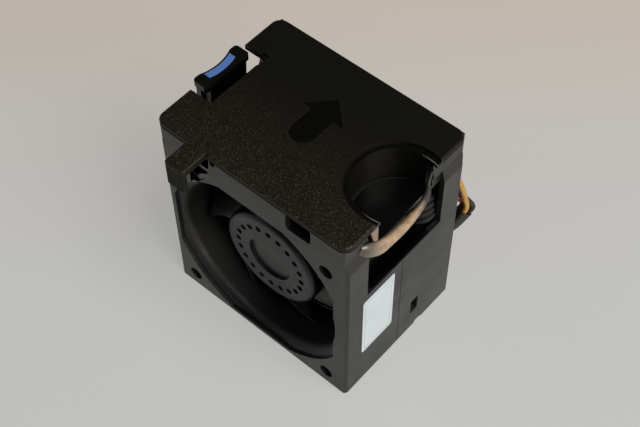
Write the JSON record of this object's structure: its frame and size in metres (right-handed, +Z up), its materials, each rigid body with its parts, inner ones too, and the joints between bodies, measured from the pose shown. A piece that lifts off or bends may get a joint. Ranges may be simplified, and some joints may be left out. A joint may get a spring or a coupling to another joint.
{
  "type": "server fan module",
  "caption": "Axial fan in a square clip-together carrier with a flat lid, hook tab, finger hole with a grip bar, and a sprung side latch with a touch stripe.",
  "frame": {"origin": "on the ground under the middle of the fan's axis, halfway between the intake and exhaust faces", "axes": "+X to the right seen from the intake, towards the finger hole; +Y with the air, from intake to exhaust; +Z up, towards the lid"},
  "size_m": [0.0657, 0.0674, 0.0725],
  "materials": {
    "front_housing": "satin moulded black plastic",
    "rear_housing": "satin moulded black plastic",
    "guide_vanes": "satin moulded black plastic",
    "top_cover": "fine spark-grained black plastic",
    "finger_bar": "glossy beige plastic, darker at its ends",
    "release_latch": "satin moulded black plastic",
    "latch_stripe": "satin blue plastic",
    "label_sticker": "coated paper label",
    "impeller": "satin moulded black plastic",
    "rotor_cup": "drawn steel",
    "ring_magnet": "bonded magnet",
    "shaft": "ground steel",
    "bearing_inner_rings": "ground steel",
    "bearing_outer_rings": "ground steel",
    "bearing_balls": "polished steel",
    "bearing_tube": "turned brass",
    "preload_spring": "spring steel",
    "retaining_clip": "spring steel",
    "stator_core": "laminated steel",
    "stator_insulators": "natural nylon",
    "stator_windings": "enamelled copper",
    "circuit_board": "solder mask",
    "board_components": "moulded epoxy",
    "red_wire": "PVC insulation",
    "blue_wire": "PVC insulation",
    "yellow_wire": "PVC insulation",
    "black_wire": "PVC insulation",
    "lead_sleeve": "shrunk polyolefin sleeve",
    "connector_shell": "natural nylon",
    "connector_contacts": "gold-flashed contact"
  },
  "bodies": {
    "carrier": {"front_housing": "front_housing", "rear_housing": "rear_housing", "guide_vanes": "guide_vanes", "top_cover": "top_cover", "finger_bar": "finger_bar", "label_sticker": "label_sticker", "bearing_outer_rings": "bearing_outer_rings", "bearing_balls": "bearing_balls", "bearing_tube": "bearing_tube", "stator_core": "stator_core", "stator_insulators": "stator_insulators", "stator_windings": "stator_windings", "circuit_board": "circuit_board", "board_components": "board_components", "red_wire": "red_wire", "blue_wire": "blue_wire", "yellow_wire": "yellow_wire", "black_wire": "black_wire", "lead_sleeve": "lead_sleeve", "connector_shell": "connector_shell", "connector_contacts": "connector_contacts"},
    "rotor": {"impeller": "impeller", "rotor_cup": "rotor_cup", "ring_magnet": "ring_magnet", "shaft": "shaft", "bearing_inner_rings": "bearing_inner_rings", "preload_spring": "preload_spring", "retaining_clip": "retaining_clip"},
    "latch": {"release_latch": "release_latch", "latch_stripe": "latch_stripe"}
  },
  "joints": [
    {"name": "rotor_spin", "type": "hinge", "parent": "carrier", "child": "rotor", "pos_m": [0, 0, 0.03], "axis": [0, 1, 0], "continuous": true},
    {"name": "latch_flex", "type": "hinge", "parent": "carrier", "child": "latch", "pos_m": [-0.0304, -0.0013, 0.038], "axis": [0, 1, 0], "range_deg": [0, 5], "stiffness_Nm_per_rad": 0.6, "springref_deg": -1.15}
  ]
}
